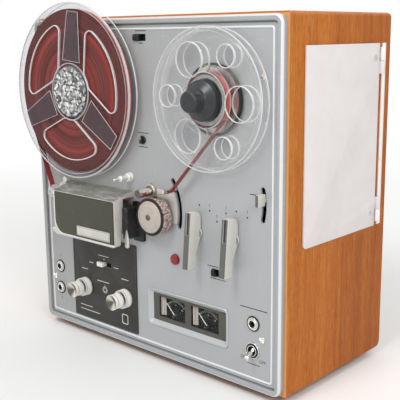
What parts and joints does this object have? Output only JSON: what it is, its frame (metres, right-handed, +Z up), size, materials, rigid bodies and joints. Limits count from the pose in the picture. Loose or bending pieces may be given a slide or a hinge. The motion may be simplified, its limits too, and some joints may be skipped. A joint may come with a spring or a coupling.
{
  "type": "reel-to-reel tape recorder",
  "caption": "Upright wooden-cased reel-to-reel tape recorder with clear reels, head cover, capstan and pinch roller, levers, level knobs, twin meters and a hinged side door.",
  "frame": {"origin": "on the floor, under the centre of the wooden cabinet", "axes": "+X to the right seen from the front, +Y to the back, +Z up; the front faces -Y"},
  "size_m": [0.3554, 0.203, 0.3576],
  "materials": {
    "veneer": "orange-brown vertical grain, satin",
    "rubber_black": "matt",
    "hardboard": "plain brown board",
    "rim_paint": "light grey, satin",
    "panel_metal": "fine brushed, warm grey",
    "chrome": "polished",
    "olive_plate": "dark olive, brushed",
    "chassis_steel": "zinc plated",
    "cover_paint": "grey, satin",
    "cast_grey": "grey",
    "steel": "bright",
    "tape_brown": "red-brown magnetic tape",
    "bronze": "bearing bronze",
    "motor_paint": "grey",
    "black_plastic": "matt black",
    "black_metal": "matt black",
    "glass": "clear window",
    "board_green": "circuit board",
    "clear_plastic": "clear reel plastic",
    "lever_cream": "light warm grey",
    "white_plastic": "white",
    "red_plastic": "red",
    "needle_white": "white",
    "door_white": "pale grey enamel",
    "roller_rubber": "worn rubber"
  },
  "bodies": {
    "deck": {"cabinet": "veneer", "feet": "rubber_black", "back_cover": "hardboard", "face_rim": "rim_paint", "deck_panel": "panel_metal", "panel_screws": "chrome", "control_plate": "olive_plate", "chassis": "chassis_steel", "head_cover": "cover_paint", "head_cover_plate": "olive_plate", "head_block": "cast_grey", "tape_heads": "steel", "guide_posts": "steel", "tape_run": "tape_brown", "bearing_bushes": "bronze", "drive_motor": "motor_paint", "drive_belt": "rubber_black", "pinch_bracket": "black_metal", "meter_bezel": "chrome", "meter_housings": "black_plastic", "meter_windows": "glass", "jack_sockets": "chrome", "control_bodies": "steel", "terminal_bay": "chassis_steel", "power_transformer": "motor_paint", "amplifier_board": "board_green", "door_hinge": "chassis_steel", "button_spring": "steel"},
    "supply_reel": {"supply_front_flange": "clear_plastic", "supply_rear_flange": "clear_plastic", "supply_tape": "tape_brown", "supply_spindle": "black_metal"},
    "takeup_reel": {"takeup_front_flange": "clear_plastic", "takeup_rear_flange": "clear_plastic", "takeup_tape": "tape_brown", "takeup_spindle": "black_metal", "reel_cap": "rubber_black"},
    "capstan": {"capstan": "steel"},
    "motor_rotor": {"motor_pulley": "bronze"},
    "guide_roller": {"guide_roller": "chrome"},
    "pinch_arm": {"pinch_arm": "steel"},
    "pinch_roller": {"pinch_roller": "roller_rubber"},
    "tension_arm": {"tension_arm": "steel", "tape_loop": "tape_brown"},
    "left_lever": {"left_lever": "lever_cream"},
    "right_lever": {"right_lever": "lever_cream"},
    "record_button": {"record_button": "red_plastic"},
    "stop_lever": {"stop_lever": "lever_cream"},
    "needle_left": {"needle_left": "needle_white"},
    "needle_right": {"needle_right": "needle_white"},
    "left_rear_knob": {"left_rear_knob": "chrome"},
    "left_front_knob": {"left_front_knob": "chrome"},
    "right_rear_knob": {"right_rear_knob": "chrome"},
    "right_front_knob": {"right_front_knob": "chrome"},
    "speed_switch": {"speed_switch": "black_plastic"},
    "mode_switch": {"mode_switch": "white_plastic"},
    "shutoff_switch": {"shutoff_switch": "black_plastic"},
    "selector_switch": {"selector_switch": "black_plastic"},
    "power_toggle": {"power_toggle": "chrome"},
    "side_door": {"side_door": "door_white"}
  },
  "joints": [
    {"name": "supply_spin", "type": "hinge", "parent": "deck", "child": "supply_reel", "pos_m": [-0.0923, -0.085, 0.2687], "axis": [0, 1, 0], "continuous": true},
    {"name": "takeup_spin", "type": "hinge", "parent": "deck", "child": "takeup_reel", "pos_m": [0.0923, -0.085, 0.2687], "axis": [0, 1, 0], "continuous": true},
    {"name": "capstan_spin", "type": "hinge", "parent": "deck", "child": "capstan", "pos_m": [0.007, -0.085, 0.1755], "axis": [0, 1, 0], "continuous": true},
    {"name": "motor_spin", "type": "hinge", "parent": "deck", "child": "motor_rotor", "pos_m": [0.072, -0.085, 0.103], "axis": [0, 1, 0], "continuous": true},
    {"name": "guide_roller_spin", "type": "hinge", "parent": "deck", "child": "guide_roller", "pos_m": [-0.1274, -0.085, 0.1606], "axis": [0, 1, 0], "continuous": true},
    {"name": "pinch_arm_swing", "type": "hinge", "parent": "deck", "child": "pinch_arm", "pos_m": [0.0222, -0.085, 0.124], "axis": [0, -1, 0], "range_deg": [0, 14]},
    {"name": "pinch_roller_spin", "type": "hinge", "parent": "pinch_arm", "child": "pinch_roller", "pos_m": [0.0208, -0.085, 0.1543], "axis": [0, 1, 0], "continuous": true},
    {"name": "tension_arm_swing", "type": "hinge", "parent": "deck", "child": "tension_arm", "pos_m": [-0.0119, -0.085, 0.1581], "axis": [0, 1, 0], "range_deg": [-6.5, 34]},
    {"name": "left_lever_turn", "type": "hinge", "parent": "deck", "child": "left_lever", "pos_m": [0.0702, -0.085, 0.1448], "axis": [0, 1, 0], "range_deg": [0, 60]},
    {"name": "right_lever_turn", "type": "hinge", "parent": "deck", "child": "right_lever", "pos_m": [0.1148, -0.085, 0.1453], "axis": [0, 1, 0], "range_deg": [-32, 32]},
    {"name": "record_press", "type": "slide", "parent": "deck", "child": "record_button", "axis": [0, 1, 0], "range_m": [0, 0.002], "stiffness_N_per_m": 150, "springref_m": -0.003},
    {"name": "stop_lever_swing", "type": "hinge", "parent": "deck", "child": "stop_lever", "pos_m": [0.087, -0.085, 0.1807], "axis": [0, 1, 0], "range_deg": [-5, 14]},
    {"name": "needle_left_swing", "type": "hinge", "parent": "deck", "child": "needle_left", "pos_m": [0.0306, -0.085, 0.0505], "axis": [0, 1, 0], "range_deg": [0, 90]},
    {"name": "needle_right_swing", "type": "hinge", "parent": "deck", "child": "needle_right", "pos_m": [0.0739, -0.085, 0.0505], "axis": [0, 1, 0], "range_deg": [0, 90]},
    {"name": "left_rear_knob_turn", "type": "hinge", "parent": "deck", "child": "left_rear_knob", "pos_m": [-0.0961, -0.085, 0.0576], "axis": [0, 1, 0], "range_deg": [-150, 150]},
    {"name": "left_front_knob_turn", "type": "hinge", "parent": "deck", "child": "left_front_knob", "pos_m": [-0.0961, -0.085, 0.0576], "axis": [0, 1, 0], "range_deg": [-150, 150]},
    {"name": "right_rear_knob_turn", "type": "hinge", "parent": "deck", "child": "right_rear_knob", "pos_m": [-0.0327, -0.085, 0.0576], "axis": [0, 1, 0], "range_deg": [-150, 150]},
    {"name": "right_front_knob_turn", "type": "hinge", "parent": "deck", "child": "right_front_knob", "pos_m": [-0.0327, -0.085, 0.0576], "axis": [0, 1, 0], "range_deg": [-150, 150]},
    {"name": "speed_slide", "type": "slide", "parent": "deck", "child": "speed_switch", "axis": [1, 0, 0], "range_m": [0, 0.008]},
    {"name": "mode_slide", "type": "slide", "parent": "deck", "child": "mode_switch", "axis": [1, 0, 0], "range_m": [0, 0.0106]},
    {"name": "shutoff_slide", "type": "slide", "parent": "deck", "child": "shutoff_switch", "axis": [1, 0, 0], "range_m": [0, 0.0036]},
    {"name": "selector_turn", "type": "hinge", "parent": "deck", "child": "selector_switch", "pos_m": [-0.0022, -0.085, 0.2251], "axis": [0, 1, 0], "range_deg": [0, 60]},
    {"name": "power_toggle_tilt", "type": "hinge", "parent": "deck", "child": "power_toggle", "pos_m": [0.1351, -0.084, 0.0454], "axis": [-1, 0, 0], "range_deg": [0, 50]},
    {"name": "side_door_swing", "type": "hinge", "parent": "deck", "child": "side_door", "pos_m": [0.1716, 0.062, 0.14], "axis": [0, 0, 1], "range_deg": [0, 150]}
  ],
  "couplings": [
    {"joint": "motor_spin", "follows": "capstan_spin", "ratio": 5.4286},
    {"joint": "pinch_arm_swing", "follows": "left_lever_turn", "ratio": 0.23333}
  ]
}
